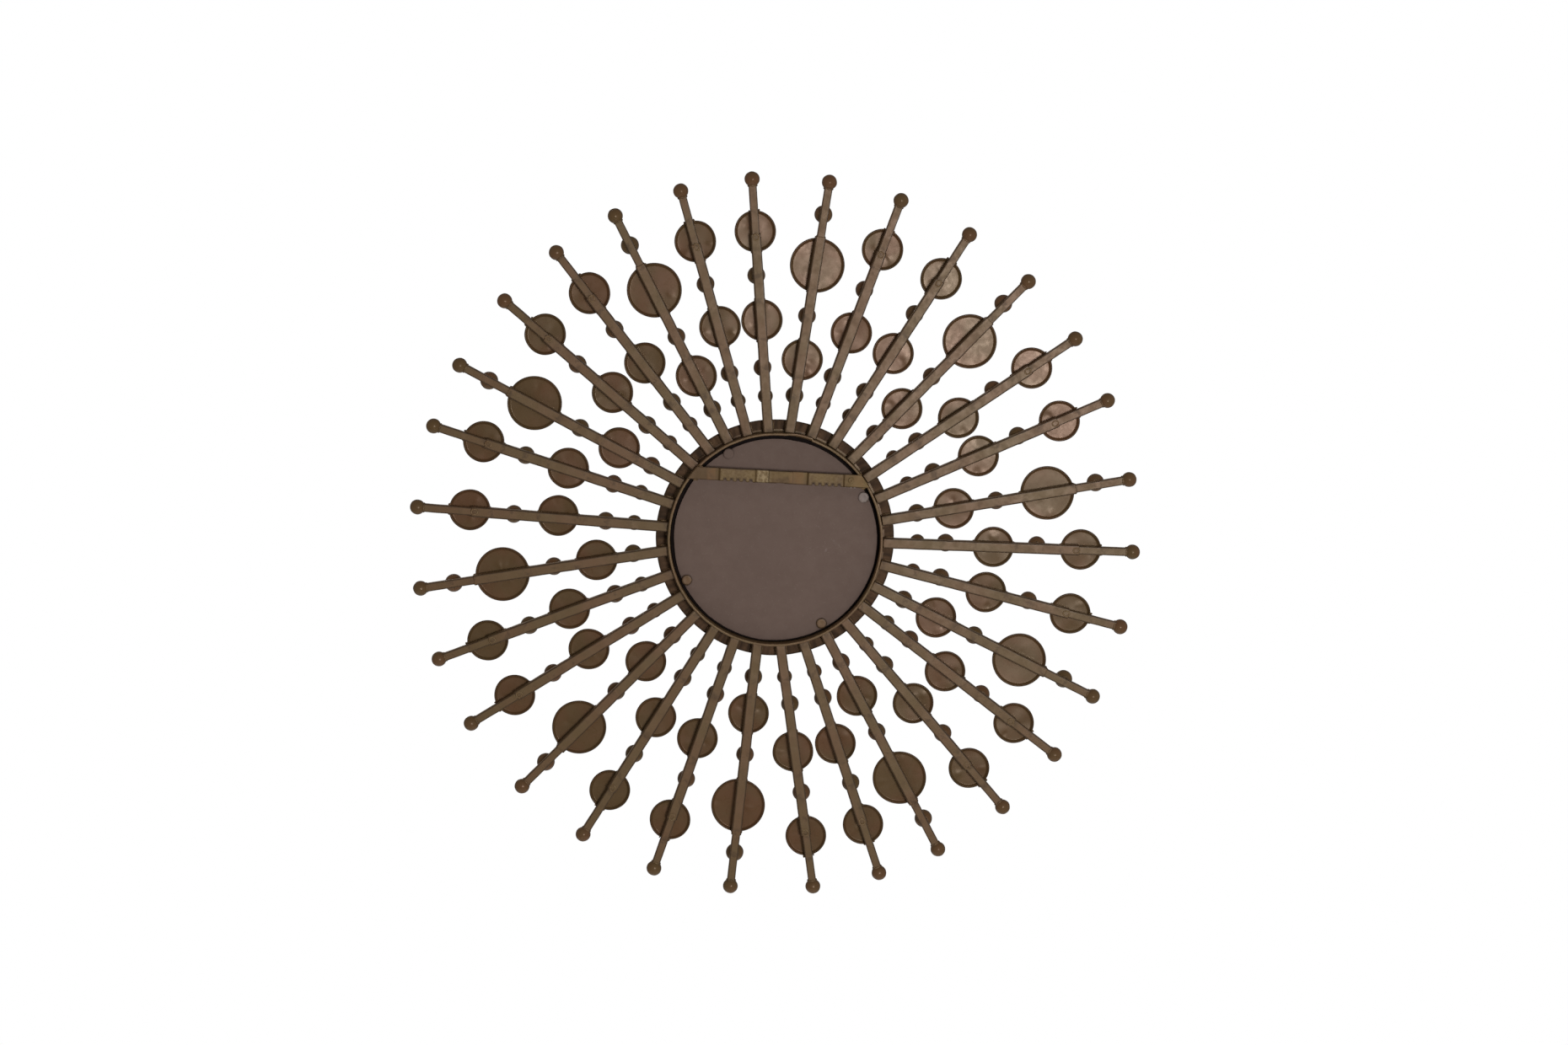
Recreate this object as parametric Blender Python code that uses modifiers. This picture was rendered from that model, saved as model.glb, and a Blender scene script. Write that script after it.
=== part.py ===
"""Round sunburst wall mirror: a mirror hub with thirty welded rays of balls and dished discs.

Metres. +Z is up, the mirror faces -Y and the wall is at +Y. The origin is on the rear face of the
hanger bar, above the hub's centre.
"""

from math import cos, radians, sin, tan, tau

import bmesh
import bpy
from mathutils import Matrix, Vector

# Clearance between two pieces that touch
GAP = 0.0003
# Edges sharper than this stay sharp in the shading
SHARP_DEG = 45.0

# Hub: a band with a flange round its front edge and a lip inside it
BAND_RADIUS = 0.134
BAND_WALL = 0.003
BAND_DEPTH = 0.0254
FLANGE_WIDTH = 0.015
FLANGE_THICK = 0.0025
LIP_WIDTH = 0.007
HUB_SIDES = 40
# The hub sits a little to one side of the point that the rays aim at
HUB_OFF_X = 0.001

# Mirror glass and backing board
GLASS_THICK = 0.004
GLASS_CLEARANCE = 0.0006
PLATE_THICK = 0.003
PLATE_CLEARANCE = 0.004
PLATE_OFF_X = -0.0005
PLATE_OFF_Z = -0.0014
DISC_SIDES = 40

# Round buttons that hold the board, by their angle from +X towards +Z. One has lost its paint.
BUTTON_RADIUS = 0.0066
BUTTON_THICK = 0.002
BUTTON_REACH = 0.0026
BUTTON_SIDES = 10
BUTTON_ANGLES = (58.4, 151.7, 238.4, 331.8)
BARE_BUTTON = 2

# Hanger strips: flat tabs, and a raised middle with notches along its lower edge
STRAP_RISE = 0.0794
STRIP_HEIGHT = 0.016
STRIP_THICK = 0.002
STRIP_BEND_DEG = 45.0
RAISED_LENGTH = 0.0427
RAISED_MIDDLE = {"hanger_left": -0.0572, "hanger_right": 0.0525}
INNER_END = {"hanger_left": -0.006, "hanger_right": 0.0035}
NOTCH_COUNT = 5
NOTCH_PITCH = 0.008
NOTCH_WIDTH = 0.0044
NOTCH_DEPTH = 0.004
NOTCH_OFF_X = -0.0008
# Each notch tool is this much larger than its notch, to run out past the strip's edge
NOTCH_OVERRUN = 1.3
BAR_THICK = 0.002
BAR_HEIGHT = 0.015
BAR_LENGTH = 0.0295
BAR_OFF_X = -0.0012
RIVET_RADIUS = 0.0038
RIVET_HEIGHT = 0.0012
RIVET_TAPER = 0.7
RIVET_OFF_X = -0.0885
RIVET_OFF_Z = 0.0006

# Rays: a square tube with a thinner square rod in its outer end
RAY_COUNT = 30
FIRST_RAY_DEG = 96.0
TUBE_WIDTH = 0.0127
TUBE_END_GAP = 0.0015
# The tube ends this far past the big disc's outer edge
TUBE_PAST_DISC = 0.0016
ROD_WIDTH = 0.010
ROD_SEAT = 0.012
TIP_BALL_RADIUS = 0.0094
RADIUS = {"bead": 0.0112, "small_bead": 0.0095, "disc": 0.0258, "big_disc": 0.034}
DISH_STEPS = {"disc": 10, "big_disc": 12}
DISH_DEPTH = 0.003
DISH_SHEET = 0.0018
DISH_EDGE_SLOPE = 0.004
BEAD_SINK = 0.001
DISC_SINK = 0.0004
# Beads lie to one side of the tube's middle line, discs to the other
BEAD_SIDE = -0.001
DISC_SIDE = 0.001
# A ball of few flat sides is drawn a little larger, so that its mean radius is the real one
FACETED_BALL_SCALE = 1.09

# Bare lengths along a ray, from the edge of one piece to the edge of the next
FIRST_BEAD_GAP = 0.0330
A_BEAD_TO_DISC = 0.0090
A_DISC_TO_BEAD = 0.0175
A_BEAD_TO_BIG_DISC = 0.0190
A_BIG_DISC_TO_BEAD = 0.0175
B_BEAD_TO_BEAD = 0.0150
B_DISC_TO_BEAD = 0.0185
B_BEAD_TO_DISC = 0.0175
B_DISC_TO_TIP = 0.0293
# The inner discs of two neighbouring B rays clear each other by this much
NEIGHBOUR_DISC_CLEARANCE = 0.0055

# The rays were set out by hand. Each wave is (waves round the ring, degrees, peak angle).
BASE_LEAN_DEG = 0.4
BASE_WAVES = ((1, 2.2, -12.0), (2, 1.0, 25.0), (3, 0.65, 95.0))
TIP_LEAN_DEG = -0.15
TIP_WAVES = ((1, 1.55, 18.0), (2, 1.15, 17.0), (4, 0.45, 132.0))
# Rays whose tips went further astray: degrees by ray number
TIP_STRAY = {1: 0.4, 6: -0.7, 7: 0.5, 11: -0.5, 13: 1.2, 15: -1.0, 20: 0.7, 22: -0.6, 24: 0.8, 25: -0.8}

# Places from the rear face to the front, as depths along -Y
TAB_DEPTH = BAR_THICK + GAP
RIM_DEPTH = TAB_DEPTH + STRIP_THICK + GAP
FRONT_DEPTH = RIM_DEPTH + BAND_DEPTH
SEAT_DEPTH = FRONT_DEPTH - FLANGE_THICK
TUBE_DEPTH = SEAT_DEPTH - GAP - TUBE_WIDTH / 2
GLASS_DEPTH = SEAT_DEPTH - GAP
PLATE_DEPTH = GLASS_DEPTH - GLASS_THICK - GAP
BUTTON_DEPTH = PLATE_DEPTH - PLATE_THICK - GAP
BAND_INNER = BAND_RADIUS - BAND_WALL
RAY_START = BAND_RADIUS + TUBE_END_GAP


def clear_scene():
    for old in list(bpy.data.objects):
        bpy.data.objects.remove(old, do_unlink=True)


def new_collection(name):
    group = bpy.data.collections.new(name)
    bpy.context.scene.collection.children.link(group)
    return group


def material(name, colour, roughness, metallic):
    mat = bpy.data.materials.new(name)
    mat.use_nodes = True
    shader = mat.node_tree.nodes["Principled BSDF"]
    shader.inputs["Base Color"].default_value = (*colour, 1.0)
    shader.inputs["Roughness"].default_value = roughness
    shader.inputs["Metallic"].default_value = metallic
    return mat


def add_object(name, mesh, group, mat=None):
    obj = bpy.data.objects.new(name, mesh)
    group.objects.link(obj)
    if mat and not mesh.materials:
        mesh.materials.append(mat)
    return obj


def shade(mesh):
    mesh.shade_smooth()
    mesh.set_sharp_from_angle(angle=radians(SHARP_DEG))
    return mesh


def as_mesh(bm, name):
    mesh = bpy.data.meshes.new(name)
    bm.to_mesh(mesh)
    bm.free()
    return shade(mesh)


def box(name, low, high):
    """A box between two corners."""
    bm = bmesh.new()
    size = Vector(high) - Vector(low)
    middle = (Vector(high) + Vector(low)) / 2
    bmesh.ops.create_cube(bm, size=1.0, matrix=Matrix.Translation(middle) @ Matrix.Diagonal((*size, 1.0)))
    return as_mesh(bm, name)


def cylinder(name, radius, low, high, sides, top_radius=None):
    """A cylinder along local Z, or a frustum if its top radius is given."""
    bm = bmesh.new()
    top = radius if top_radius is None else top_radius
    bmesh.ops.create_cone(bm, cap_ends=True, segments=sides, radius1=radius, radius2=top,
                          depth=high - low, matrix=Matrix.Translation((0, 0, (low + high) / 2)))
    return as_mesh(bm, name)


def faceted_ball(name, radius, centre, turn=0.0):
    """A ball of twenty flat sides. It stands on a corner, unless it is turned about Y."""
    bm = bmesh.new()
    bmesh.ops.create_icosphere(bm, subdivisions=1, radius=radius * FACETED_BALL_SCALE,
                               matrix=Matrix.Translation(centre) @ Matrix.Rotation(turn, 4, "Y"))
    return as_mesh(bm, name)


def turned(name, profile, steps, group, closed):
    """A profile of (radius, z) points, outer side first, turned about local Z."""
    count = len(profile)
    edges = [(i, i + 1) for i in range(count - 1)]
    if closed:
        edges.append((count - 1, 0))
    mesh = bpy.data.meshes.new(name)
    mesh.from_pydata([(r, 0.0, z) for r, z in profile], edges, [])
    obj = add_object(name, mesh, group)
    screw = obj.modifiers.new("turn", "SCREW")
    screw.axis = "Z"
    screw.steps = steps
    screw.render_steps = steps
    screw.use_merge_vertices = True
    screw.merge_threshold = 0.00001
    screw.use_smooth_shade = False
    return obj


def finished_mesh(obj, name):
    """The object's shape with its modifiers, as a mesh of its own."""
    bpy.context.view_layer.update()
    graph = bpy.context.evaluated_depsgraph_get()
    mesh = bpy.data.meshes.new_from_object(obj.evaluated_get(graph), depsgraph=graph)
    mesh.name = name
    return shade(mesh)


def boolean(obj, other, operation):
    mod = obj.modifiers.new(operation.lower(), "BOOLEAN")
    mod.operation = operation
    mod.object = other
    mod.solver = "EXACT"


def wire_tool(name, mesh, group):
    """A mesh that only cuts or joins others."""
    obj = add_object(name, mesh, group)
    obj.hide_render = True
    obj.display_type = "WIRE"
    return obj


def wave(angle_deg, lean, waves):
    """How far a ray strays from its even place, in degrees."""
    return lean + sum(size * cos(radians(n * angle_deg - peak)) for n, size, peak in waves)


def spaced(pieces, first_middle):
    """Middles of pieces in a row, from (kind, bare length before it) after the first."""
    kind, middle = first_middle
    row = [(kind, middle)]
    for next_kind, bare in pieces:
        middle += RADIUS[kind] + bare + RADIUS[next_kind]
        kind = next_kind
        row.append((kind, middle))
    return row


def ray_stations():
    """Each ray pattern's pieces as (kind, distance from the ray's inner end), the tip's and the tube end's."""
    first_b = ("small_bead", FIRST_BEAD_GAP + RADIUS["small_bead"])
    inner_b = spaced([("bead", B_BEAD_TO_BEAD)], first_b)
    apart = RADIUS["disc"] + NEIGHBOUR_DISC_CLEARANCE / 2
    neighbours = ("disc", apart / sin(tau / RAY_COUNT / 2) - RAY_START)
    ray_b = inner_b + spaced([("bead", B_DISC_TO_BEAD), ("disc", B_BEAD_TO_DISC)], neighbours)
    tip = ray_b[-1][1] + RADIUS["disc"] + B_DISC_TO_TIP + TIP_BALL_RADIUS
    first_a = ("bead", FIRST_BEAD_GAP + RADIUS["bead"])
    ray_a = spaced([("disc", A_BEAD_TO_DISC), ("bead", A_DISC_TO_BEAD), ("big_disc", A_BEAD_TO_BIG_DISC),
                    ("bead", A_BIG_DISC_TO_BEAD)], first_a)
    tube_end = dict(ray_a)["big_disc"] + RADIUS["big_disc"] + TUBE_PAST_DISC
    return ray_a, ray_b, tip, tube_end


def dish_profile(radius, steps):
    """A shallow dish with its rim at z = 0, hollow on that side and bulging along +Z."""
    front = DISH_DEPTH + DISH_SHEET
    corner = radius * (tau / steps / sin(tau / steps)) ** 0.5
    return ((0.0, front), (corner - DISH_EDGE_SLOPE, front), (corner, 0.0), (0.0, DISH_DEPTH))


def ray_mesh(name, stations, tip, tube_end, group):
    """One ray along local +X, its front towards +Z, with everything welded into one body."""
    half = TUBE_WIDTH / 2
    thin = ROD_WIDTH / 2
    ray = wire_tool(name, box(name, (0, -half, -half), (tube_end, half, half)), group)
    tools = [wire_tool(f"{name}_rod", box("rod", (tube_end - ROD_SEAT, -thin, -thin), (tip, thin, thin)), group),
             wire_tool(f"{name}_tip", faceted_ball("tip", TIP_BALL_RADIUS, (tip, 0, 0), tau / 4), group)]
    for number, (kind, reach) in enumerate(stations):
        radius = RADIUS[kind]
        face = half if reach - radius < tube_end else thin
        label = f"{name}_{kind}_{number}"
        if kind in DISH_STEPS:
            dish = turned(label, dish_profile(radius, DISH_STEPS[kind]), DISH_STEPS[kind], group, closed=False)
            dish.hide_render = True
            dish.display_type = "WIRE"
            dish.location = (reach, DISC_SIDE, face - DISC_SINK)
            dish.rotation_euler.z = tau / DISH_STEPS[kind] / 2
            tools.append(dish)
        else:
            middle = (reach, BEAD_SIDE, face - BEAD_SINK + radius)
            tools.append(wire_tool(label, faceted_ball(label, radius, middle), group))
    for tool in tools:
        boolean(ray, tool, "UNION")
    mesh = finished_mesh(ray, name)
    for tool in (ray, *tools):
        bpy.data.objects.remove(tool, do_unlink=True)
    return mesh


def add_rays(parts, tools, hub, mat):
    stations_a, stations_b, tip, tube_end = ray_stations()
    meshes = {"A": ray_mesh("ray_a", stations_a, tip, tube_end, tools),
              "B": ray_mesh("ray_b", stations_b, tip, tube_end, tools)}
    for mesh in meshes.values():
        mesh.materials.clear()
        mesh.materials.append(mat)
    for number in range(1, RAY_COUNT + 1):
        even = FIRST_RAY_DEG + 360.0 / RAY_COUNT * (number - 1)
        stray = TIP_STRAY.get(number, 0.0)
        base_angle = radians(even + wave(even, BASE_LEAN_DEG, BASE_WAVES))
        tip_angle = radians(even + wave(even, TIP_LEAN_DEG, TIP_WAVES) + stray)
        base = Vector((cos(base_angle), sin(base_angle))) * RAY_START
        end = Vector((cos(tip_angle), sin(tip_angle))) * (RAY_START + tip)
        along = end - base
        pattern = "A" if number % 3 == 1 else "B"
        ray = add_object(f"ray_{number:02d}", meshes[pattern], parts)
        ray.parent = hub
        ray.location = (base.x, -TUBE_DEPTH, base.y)
        ray.rotation_euler = (tau / 4, Vector((1, 0)).angle_signed(along), 0)


def add_turned_hub(parts, hub, mats):
    """The ring, the glass and the board, turned about local Z, which points to the front."""
    profile = ((BAND_RADIUS + FLANGE_WIDTH, FRONT_DEPTH),
               (BAND_RADIUS + FLANGE_WIDTH, SEAT_DEPTH),
               (BAND_RADIUS, SEAT_DEPTH),
               (BAND_RADIUS, RIM_DEPTH),
               (BAND_INNER, RIM_DEPTH),
               (BAND_INNER, SEAT_DEPTH),
               (BAND_INNER - LIP_WIDTH, SEAT_DEPTH),
               (BAND_INNER - LIP_WIDTH, FRONT_DEPTH))
    outline = turned("ring_outline", profile, HUB_SIDES, parts, closed=True)
    ring = add_object("ring_frame", finished_mesh(outline, "ring_frame"), parts, mats["frame"])
    bpy.data.objects.remove(outline, do_unlink=True)
    glass = add_object("mirror_glass", cylinder("mirror_glass", BAND_INNER - GLASS_CLEARANCE,
                                                GLASS_DEPTH - GLASS_THICK, GLASS_DEPTH, DISC_SIDES),
                       parts, mats["glass"])
    plate = add_object("back_plate", cylinder("back_plate", BAND_INNER - PLATE_CLEARANCE,
                                              PLATE_DEPTH - PLATE_THICK, PLATE_DEPTH, DISC_SIDES),
                       parts, mats["plate"])
    for obj in (ring, glass, plate):
        obj.parent = hub
        obj.rotation_euler.x = tau / 4
        obj.location.x = HUB_OFF_X
    plate.location = (HUB_OFF_X + PLATE_OFF_X, 0, PLATE_OFF_Z)


def add_buttons(parts, hub, mats):
    centre = BAND_INNER - BUTTON_REACH - BUTTON_RADIUS
    for number, degrees in enumerate(BUTTON_ANGLES, start=1):
        angle = radians(degrees)
        mesh = cylinder("plate_button", BUTTON_RADIUS, BUTTON_DEPTH - BUTTON_THICK, BUTTON_DEPTH, BUTTON_SIDES)
        mat = mats["bare"] if number == BARE_BUTTON else mats["button"]
        button = add_object(f"plate_button_{number}", mesh, parts, mat)
        button.parent = hub
        button.rotation_euler.x = tau / 4
        button.location = (HUB_OFF_X + centre * cos(angle), 0, centre * sin(angle))


def strip_outline(start, raised_start, raised_end, end):
    """The strip's edge seen from above, in X and Y: outer tab, raised middle, inner tab."""
    way = 1 if end > start else -1
    rise = TAB_DEPTH * way / tan(radians(STRIP_BEND_DEG))
    bend = STRIP_THICK * way * tan(radians(STRIP_BEND_DEG) / 2)
    rear = [(start, -TAB_DEPTH), (raised_start - rise, -TAB_DEPTH), (raised_start, 0),
            (raised_end, 0), (raised_end + rise, -TAB_DEPTH), (end, -TAB_DEPTH)]
    front = [(end, -TAB_DEPTH - STRIP_THICK), (raised_end + rise - bend, -TAB_DEPTH - STRIP_THICK),
             (raised_end - bend, -STRIP_THICK), (raised_start + bend, -STRIP_THICK),
             (raised_start - rise + bend, -TAB_DEPTH - STRIP_THICK), (start, -TAB_DEPTH - STRIP_THICK)]
    return rear + front


def strip_mesh(name, outline, height, group):
    """A flat outline in X and Y, as thick as the height along Z."""
    curve = bpy.data.curves.new(name, "CURVE")
    curve.dimensions = "2D"
    curve.fill_mode = "BOTH"
    curve.extrude = height / 2
    spline = curve.splines.new("POLY")
    spline.points.add(len(outline) - 1)
    for point, (x, y) in zip(spline.points, outline):
        point.co = (x, y, 0, 1)
    spline.use_cyclic_u = True
    drawn = bpy.data.objects.new(name, curve)
    group.objects.link(drawn)
    mesh = finished_mesh(drawn, name)
    bpy.data.objects.remove(drawn, do_unlink=True)
    bm = bmesh.new()
    bm.from_mesh(mesh)
    bmesh.ops.remove_doubles(bm, verts=bm.verts, dist=0.00001)
    bmesh.ops.recalc_face_normals(bm, faces=bm.faces)
    bpy.data.meshes.remove(mesh)
    return as_mesh(bm, name)


def notch_tool(name, middle, group):
    """Three-sided bars, one corner up, that cut the notches into the strip's lower edge."""
    bm = bmesh.new()
    strip_depth = TAB_DEPTH + STRIP_THICK
    radius = NOTCH_OVERRUN * NOTCH_WIDTH / 2 / sin(tau / 3)
    stretch = NOTCH_DEPTH / (NOTCH_WIDTH / 2 * tan(tau / 6))
    for number in range(NOTCH_COUNT):
        x = middle + (number - (NOTCH_COUNT - 1) / 2) * NOTCH_PITCH
        z = NOTCH_DEPTH - STRIP_HEIGHT / 2 - radius * stretch
        place = (Matrix.Translation((x, -strip_depth / 2, z)) @ Matrix.Diagonal((1, 1, stretch, 1))
                 @ Matrix.Rotation(tau / 4, 4, "X"))
        bmesh.ops.create_cone(bm, cap_ends=True, segments=3, radius1=radius, radius2=radius,
                              depth=3 * strip_depth, matrix=place)
    return wire_tool(name, as_mesh(bm, name), group)


def add_hangers(parts, tools, mats):
    """Two notched strips across the band's rear rim, the bar that joins them and one rivet."""
    rim = wire_tool("rim_tool", cylinder("rim_tool", BAND_RADIUS, -RIM_DEPTH, BAND_DEPTH, HUB_SIDES), tools)
    rim.rotation_euler.x = tau / 4
    rim.location = (HUB_OFF_X, 0, -STRAP_RISE)
    for name, middle in RAISED_MIDDLE.items():
        way = 1 if middle > 0 else -1
        half = way * RAISED_LENGTH / 2
        outline = strip_outline(way * BAND_RADIUS, middle + half, middle - half, INNER_END[name])
        strip = add_object(name, strip_mesh(name, outline, STRIP_HEIGHT, parts), parts, mats["frame"])
        boolean(strip, rim, "INTERSECT")
        boolean(strip, notch_tool(f"{name}_notches", middle + NOTCH_OFF_X, tools), "DIFFERENCE")
    corner = Vector((BAR_LENGTH / 2, BAR_THICK / 2, BAR_HEIGHT / 2))
    middle = Vector((BAR_OFF_X, -BAR_THICK / 2, 0))
    add_object("hanger_bar", box("hanger_bar", middle - corner, middle + corner), parts, mats["frame"])
    rivet_mesh = cylinder("hanger_rivet", RIVET_RADIUS, GAP, GAP + RIVET_HEIGHT, BUTTON_SIDES,
                          top_radius=RIVET_RADIUS * RIVET_TAPER)
    rivet = add_object("hanger_rivet", rivet_mesh, parts, mats["frame"])
    rivet.rotation_euler.x = -tau / 4
    rivet.location = (RIVET_OFF_X, -TAB_DEPTH, RIVET_OFF_Z)


def build():
    clear_scene()
    parts = new_collection("sunburst_wall_mirror")
    tools = new_collection("cutters")
    mats = {"frame": material("brown_painted_steel", (0.105, 0.075, 0.045), 0.5, 0.35),
            "button": material("painted_button", (0.11, 0.075, 0.055), 0.6, 0.2),
            "bare": material("bare_button", (0.42, 0.36, 0.34), 0.5, 0.6),
            "plate": material("painted_board", (0.125, 0.088, 0.07), 0.7, 0.0),
            "glass": material("silvered_glass", (0.85, 0.87, 0.87), 0.03, 1.0)}
    hub = bpy.data.objects.new("hub_centre", None)
    parts.objects.link(hub)
    hub.location.z = -STRAP_RISE
    add_turned_hub(parts, hub, mats)
    add_buttons(parts, hub, mats)
    add_hangers(parts, tools, mats)
    add_rays(parts, tools, hub, mats["frame"])


build()
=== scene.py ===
"""Round sunburst wall mirror, seen from behind.

Thirty welded rays of square tube, beads and dished discs stand round a mirror hub, with a notched
hanger strip across its back. Metres, +Z up, the mirror faces -Y and the wall is at +Y.
"""

from math import cos, exp, pi, radians, sin, sqrt, tau
from random import Random

import bpy
from mathutils import Matrix, Vector, noise

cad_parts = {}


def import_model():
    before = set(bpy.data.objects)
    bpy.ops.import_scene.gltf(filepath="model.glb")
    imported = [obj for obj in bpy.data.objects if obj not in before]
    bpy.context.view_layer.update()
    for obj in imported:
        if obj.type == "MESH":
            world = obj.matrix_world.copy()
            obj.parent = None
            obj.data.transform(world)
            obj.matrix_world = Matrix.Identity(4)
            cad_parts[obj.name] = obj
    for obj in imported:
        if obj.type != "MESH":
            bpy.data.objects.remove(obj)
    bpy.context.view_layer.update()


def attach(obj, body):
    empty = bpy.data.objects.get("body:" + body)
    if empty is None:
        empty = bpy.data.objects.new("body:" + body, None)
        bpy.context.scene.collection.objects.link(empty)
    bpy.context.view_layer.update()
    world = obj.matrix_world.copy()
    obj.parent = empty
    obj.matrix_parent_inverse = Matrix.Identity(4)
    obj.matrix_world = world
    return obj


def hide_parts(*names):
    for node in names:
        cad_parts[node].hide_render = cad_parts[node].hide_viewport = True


MM = 0.001
# How far inside a rounded corner a bar's flats start
SUPPORT = 0.001
# Without a seed, noise_vector takes its offsets from the clock and differs from run to run
NOISE_SEED = 1

# Places that the solids use, from the rear face to the front, as depths along -Y
STRAP_RISE = 0.0794
TAB_DEPTH = 0.0023
RIM_DEPTH = 0.0046
FRONT_DEPTH = 0.0300
SEAT_DEPTH = 0.0275
TUBE_DEPTH = 0.02085
GLASS_DEPTH = 0.0272
PLATE_DEPTH = 0.0229
BUTTON_DEPTH = 0.0196

# Hub
HUB_OFF_X = 0.001
BAND_RADIUS = 0.134
BAND_INNER = 0.131
FLANGE_RADIUS = 0.149
LIP_RADIUS = 0.124
RING_STEPS = 480
RIM_ROUND = 0.0009
RING_WOBBLE = 0.25 * MM
RING_WARP = 0.12 * MM
SEAM_DEG = 107.0
BULGE_START_DEG = 92.0
BULGE = 0.0021
BULGE_REACH = 6 * MM
GLASS_RADIUS = 0.1304
GLASS_THICK = 0.004
GLASS_BEVEL = 0.4 * MM
# How far the mirror's face lies inside the solid's front face
GLASS_DROP = 0.1 * MM
ROUND_STEPS = 200
PLATE_RADIUS = 0.127
PLATE_THICK = 0.003
PLATE_SOFT = 0.5 * MM
PLATE_RINGS = 24
PLATE_RAGGED = 0.5 * MM
PLATE_NICKED = 0.25 * MM
PLATE_WARP = 0.18 * MM
PLATE_OFF_X = -0.0005
PLATE_OFF_Z = -0.0014
BUTTON_RADIUS = 0.0066
BUTTON_THICK = 0.002
BUTTON_PLACE = 0.1218
BUTTON_ANGLES = (58.4, 151.7, 238.4, 331.8)
BUTTON_WOBBLE = (0.15 * MM, 6 * MM)
BUTTON_STEPS = 40
BUTTON_MARKS = (1.0, 0.6, 0.0)
# How wide the painted shade round a button's edge is
BUTTON_SHADE = 0.9 * MM
# A button's dimpled rear, as (radius, rise)
BUTTON_REAR = ((0.0, 0.15 * MM), (0.0022, 0.12 * MM), (0.0045, 0.0), (0.0058, 0.1 * MM),
               (0.0064, 0.4 * MM), (BUTTON_RADIUS, 0.9 * MM))
BARE_BUTTON = 2
# The button that is painted over with the board
FAINT_BUTTON = 1

# Rays, set out as the solids are
RAY_COUNT = 30
FIRST_RAY_DEG = 96.0
RAY_START = 0.1355
TUBE_HALF = 0.00635
ROD_HALF = 0.005
TUBE_END = 0.2445
TUBE_START = -0.0013
TUBE_ROUND = 0.0012
ROD_ROUND = 0.0009
ROD_SEAT = 0.012
TIP = 0.3121
TIP_BALL_RADIUS = 0.0094
ROD_END = TIP - 0.4 * TIP_BALL_RADIUS
BAR_SPACING = 4 * MM
BAR_ARC = 4
# How far bars and balls stray from their true shapes, and over what distance
TUBE_WOBBLE = (0.22 * MM, 14 * MM)
ROD_WOBBLE = (0.2 * MM, 12 * MM)
TIP_WOBBLE = (0.25 * MM, 7 * MM)
BEAD_WOBBLE = (0.2 * MM, 8 * MM)
ROD_SEED = 40
BALL_ROWS = 20
TIP_STEPS = 32
BEAD_STEPS = 36
BASE_LEAN_DEG = 0.4
BASE_WAVES = ((1, 2.2, -12.0), (2, 1.0, 25.0), (3, 0.65, 95.0))
TIP_LEAN_DEG = -0.15
TIP_WAVES = ((1, 1.55, 18.0), (2, 1.15, 17.0), (4, 0.45, 132.0))
TIP_STRAY = {1: 0.4, 6: -0.7, 7: 0.5, 11: -0.5, 13: 1.2, 15: -1.0, 20: 0.7, 22: -0.6, 24: 0.8, 25: -0.8}
RADIUS = {"bead": 0.0112, "small_bead": 0.0095, "disc": 0.0258, "big_disc": 0.034}
# Each ray pattern: kind, distance along the ray, and how far it sits to one side
PATTERN_A = (("bead", 0.0442, 0.0), ("disc", 0.0902, 0.0011), ("bead", 0.1447, 0.0),
             ("big_disc", 0.2089, 0.0014), ("bead", 0.2716, -0.0011))
PATTERN_B = (("small_bead", 0.0425, -0.0006), ("bead", 0.0782, -0.0015), ("disc", 0.1376, 0.0017),
             ("bead", 0.1931, -0.0015), ("disc", 0.2476, 0.0006))
SIDE_SCATTER = 0.0007
# How far each kind of disc is beaten out of flat, and over what distance
HAMMERED = {"disc": (0.0004, 0.020), "big_disc": (0.0004, 0.034)}
# A disc's dents: how many, their places as shares of its radius, their half widths and their depths
DENT_COUNT = 3
DENT_OUT = (0.35, 0.8)
DENT_WIDE_MM = (2.0, 4.5)
DENT_DEEP_MM = (-0.6, 0.6)
DISC_TILT_DEG = 1.3
DISC_SINK = 0.3 * MM
DISH_STEPS = 72
DISH_DEPTH = 0.003
DISH_SHEET = 0.0016
DISH_TURN = 0.0024
ROLL_RADIUS = 0.0011
ROLL_OPEN_DEG = 30.0
ROLL_END_DEG = 405.0
BEAD_SINK = 0.001
# How wide the painted shade round a disc's rim and the flange's rim is
RIM_SHADE_WIDE = 1.2 * MM

# Welds: rings, runs and lumps, with the marks for weld heat, stain, and bare wear with painted sheen
CLEAN = (0.0, 0.0, 0.0)
HOT = (1.0, 0.0, 0.0)
HEAT_REACH = 4.5 * MM
WELD_AROUND = 8
RING_WELD_STEPS = 28
RUN_WELD_STEPS = 14
NECK_PLACE = TIP - 0.85 * TIP_BALL_RADIUS
NECK_WELD = 1.4 * MM
NECK_MARKS = (0.8, 0.0, 0.1)
# The foot ring's radius as a share of its bead's
BEAD_FOOT = 0.42
BEAD_WELD = 1.2 * MM
BEAD_WELD_RISE = 0.1 * MM
# The spots where a disc's rim crosses its bar's edges
SPOT_INSET_MM = (0.3, 1.6)
SPOT_DROP_MM = (0.6, 1.6)
SPOT_LENGTH_MM = (1.8, 2.9)
SPOT_WIDTH_MM = (1.0, 1.6)
SPOT_HEIGHT = 1.7 * MM
# The runs along the tube's inner end
RUN_START = 0.3 * MM
RUN_END_MM = (10, 13)
RUN_OUT = 0.1 * MM
RUN_DROP = 0.9 * MM
RUN_WELD = 1.3 * MM
RUN_MARKS = (1.0, 0.0, 0.1)
# The lumps where the rod leaves the tube
STEP_PLACE = TUBE_END - 0.2 * MM
STEP_WELD = (1.6 * MM, 1.1 * MM, 3.5 * MM)
# The ring round the filled hole on a B ray's rear face
PLUG_PLACE = (TUBE_END - 3.6 * MM, 0.3 * MM, -TUBE_HALF)
PLUG_RADII = (3.9 * MM, 3.2 * MM)
PLUG_WELD = 0.9 * MM
PLUG_MARKS = (0.3, 0.5, 0.35)

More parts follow.
